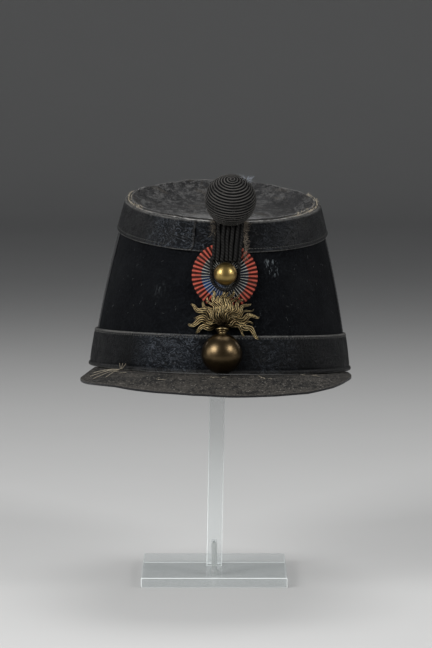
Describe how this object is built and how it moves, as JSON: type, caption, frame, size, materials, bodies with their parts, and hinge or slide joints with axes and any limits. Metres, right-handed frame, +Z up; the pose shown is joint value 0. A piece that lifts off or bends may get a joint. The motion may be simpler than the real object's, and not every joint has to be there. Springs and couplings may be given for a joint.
{
  "type": "shako hat on a display stand",
  "caption": "Tapered oval cloth shako with leather bands, peak, sunken top, pleated cockade, brass grenade badge and wound ball, on a clear post stand.",
  "frame": {"origin": "middle of the underside of the stand's square base", "axes": "+Z up, the front of the hat and its peak towards -Y, the wearer's left towards +X"},
  "size_m": [0.1812, 0.2603, 0.2783],
  "materials": {
    "cloth": "dark navy felted wool cloth, matt, a little worn and linty",
    "top_leather": "black leather, crazed and dusty, worn pale along the rim",
    "band_leather": "black grained leather, half gloss, fine creases",
    "peak_leather": "blackened leather, dusty and speckled, glossy cut edge",
    "piping": "black cloth piping, matt",
    "cockade_leather": "pleated painted leather: red rim, white ring, blue middle, worn",
    "brass": "polished, lightly aged",
    "badge_brass": "aged, dark in the hollows, bright on the ridges",
    "cord": "faded black worsted cord, matt",
    "clear_acrylic": "clear, polished",
    "screw_steel": "plain bright steel"
  },
  "bodies": {
    "root": {"crown_shell": "cloth", "crown_top": "top_leather", "top_band": "band_leather", "bottom_band": "band_leather", "peak": "peak_leather", "side_piping_left": "piping", "side_piping_right": "piping", "cockade": "cockade_leather", "button": "brass", "cord_bundle": "cord", "wound_ball": "cord", "grenade_badge": "badge_brass", "stand_base": "clear_acrylic", "stand_post": "clear_acrylic", "stand_screw": "screw_steel"}
  },
  "joints": []
}
